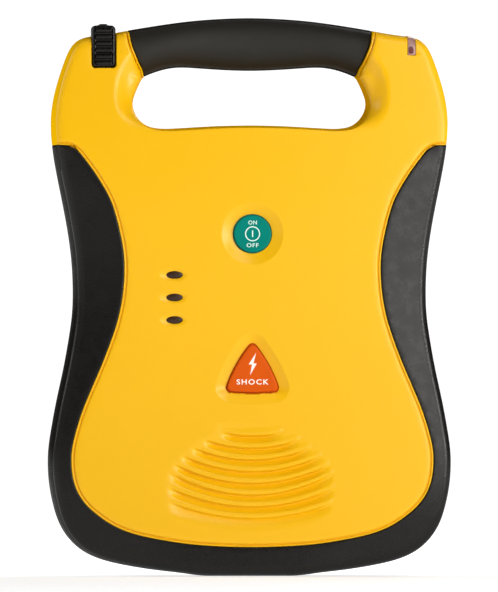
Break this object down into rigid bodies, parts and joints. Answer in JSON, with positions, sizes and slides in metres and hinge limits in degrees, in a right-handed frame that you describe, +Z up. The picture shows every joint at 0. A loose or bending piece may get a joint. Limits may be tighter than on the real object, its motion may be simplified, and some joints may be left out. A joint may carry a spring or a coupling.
{
  "type": "automated external defibrillator",
  "caption": "Portable defibrillator with waisted case, carrying handle, push buttons, side-loaded battery and plug-in pads connector.",
  "frame": {"origin": "middle of the base, on the surface that the object stands on", "axes": "+Z up towards the carrying handle, +Y towards the back, +X to the right as the user faces the buttons"},
  "size_m": [0.2162, 0.069, 0.3002],
  "materials": {
    "yellow_shell": "satin moulded plastic, fine texture",
    "black_rubber": "soft-touch overmould, matt",
    "grip_rubber": "soft-touch overmould, satin",
    "green_button": "satin moulded plastic",
    "shock_red": "satin moulded plastic",
    "lens_dark": "dark translucent lens",
    "window_clear": "clear moulded light pipe",
    "black_plastic": "glossy moulded plastic",
    "matt_black": "fine textured plastic",
    "silicone": "matt silicone",
    "screw_steel": "zinc plated",
    "gold_contact": "gold plated",
    "circuit_board": "solder mask",
    "chip_black": "moulded epoxy",
    "connector_white": "moulded nylon",
    "led_amber": "clear tinted epoxy",
    "capacitor_can": "brushed can",
    "clamp_steel": "plain strip",
    "ferrite": "fired ferrite",
    "copper_winding": "enamelled wire",
    "heat_aluminium": "extruded",
    "speaker_steel": "pressed steel",
    "speaker_paper": "pressed paper",
    "acoustic_mesh": "fine woven mesh",
    "battery_plastic": "fine textured plastic",
    "cell_wrap": "shrink sleeve",
    "wire_red": "insulated lead",
    "label_grey": "bare printed-plate stock"
  },
  "bodies": {
    "housing": {"backup_cell": "screw_steel", "battery_bay_liner": "matt_black", "bay_contacts": "gold_contact", "board_connectors": "connector_white", "board_screws": "screw_steel", "capacitor_clamp": "clamp_steel", "capacitor_leads": "wire_red", "case_gasket": "silicone", "case_screws": "screw_steel", "chips": "chip_black", "filter_inductors": "copper_winding", "front_bumper": "black_rubber", "front_case": "yellow_shell", "grip_front": "grip_rubber", "grip_rear": "grip_rubber", "heat_spreader": "heat_aluminium", "high_voltage_capacitor": "capacitor_can", "holder_screws": "screw_steel", "indicator_leds": "led_amber", "indicator_lenses": "lens_dark", "label_plate": "label_grey", "main_board": "circuit_board", "on_off_seal": "silicone", "output_module": "chip_black", "pads_holder": "matt_black", "pads_socket": "matt_black", "rear_bumper": "black_rubber", "rear_case": "yellow_shell", "shock_seal": "silicone", "socket_contacts": "gold_contact", "speaker_cone": "speaker_paper", "speaker_frame": "speaker_steel", "speaker_gasket": "silicone", "speaker_leads": "wire_red", "speaker_magnet": "ferrite", "speaker_mesh": "acoustic_mesh", "status_led": "lens_dark", "status_window": "window_clear", "tact_switches": "chip_black", "transformer_core": "ferrite", "transformer_winding": "copper_winding"},
    "on_off_button": {"on_off_button": "green_button"},
    "shock_button": {"shock_button": "shock_red"},
    "pads_plug": {"pads_plug": "black_plastic", "plug_contacts": "gold_contact"},
    "battery_pack": {"battery_case": "battery_plastic", "battery_cover": "battery_plastic", "battery_cells": "cell_wrap", "battery_board": "circuit_board", "battery_terminals": "gold_contact", "battery_end_cap": "battery_plastic"},
    "eject_button": {"eject_button": "matt_black"}
  },
  "joints": [
    {"name": "on_off_press", "type": "slide", "parent": "housing", "child": "on_off_button", "axis": [0, 1, 0], "range_m": [0, 0.0012], "stiffness_N_per_m": 2600, "springref_m": -0.0005},
    {"name": "shock_press", "type": "slide", "parent": "housing", "child": "shock_button", "axis": [0, 1, 0], "range_m": [0, 0.0015], "stiffness_N_per_m": 2600, "springref_m": -0.0005},
    {"name": "pads_plug_pull", "type": "slide", "parent": "housing", "child": "pads_plug", "axis": [0, 0, 1], "range_m": [0, 0.03]},
    {"name": "battery_slide", "type": "slide", "parent": "housing", "child": "battery_pack", "axis": [1, 0, 0], "range_m": [0, 0.15]},
    {"name": "eject_press", "type": "slide", "parent": "housing", "child": "eject_button", "axis": [-1, 0, 0], "range_m": [0, 0.0025], "stiffness_N_per_m": 1200, "springref_m": -0.0008}
  ]
}
